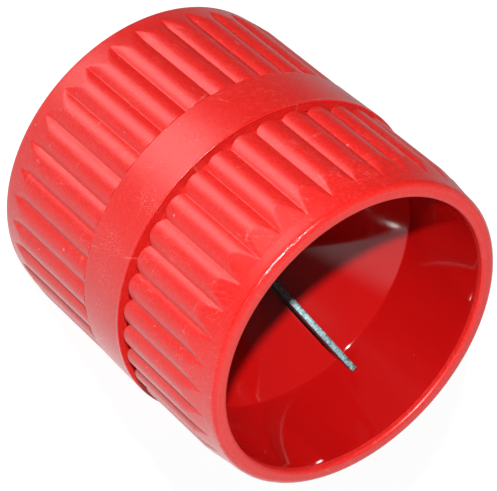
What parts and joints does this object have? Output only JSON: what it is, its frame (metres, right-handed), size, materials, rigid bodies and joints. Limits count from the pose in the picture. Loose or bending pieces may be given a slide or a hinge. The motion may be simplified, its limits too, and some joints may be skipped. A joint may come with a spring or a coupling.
{
  "type": "deburring tool",
  "caption": "Hand-held inner and outer tube deburring tool: a ribbed plastic barrel with a bladed funnel at one end and a bladed cone at the other.",
  "frame": {"origin": "centre of the rear rim's plane, on the barrel's axis, where the tool stands", "axes": "+Z along the barrel's axis, from the rear rim (cone end) to the mouth (funnel end); one blade stands 80 degrees from +X towards +Y"},
  "size_m": [0.0442, 0.0442, 0.044],
  "materials": {
    "satin_red_plastic": "satin moulded, slightly scuffed",
    "polished_red_plastic": "polished moulded",
    "ground_steel": "surface ground, hardened",
    "plated_steel": "bright zinc plated",
    "brass": "turned"
  },
  "bodies": {
    "root": {"front_shell": "satin_red_plastic", "rear_shell": "satin_red_plastic", "centre_band": "satin_red_plastic", "funnel_insert": "polished_red_plastic", "cone_insert": "polished_red_plastic", "blade_1": "ground_steel", "blade_2": "ground_steel", "blade_3": "ground_steel", "centre_screw": "plated_steel", "threaded_insert": "brass"}
  },
  "joints": []
}
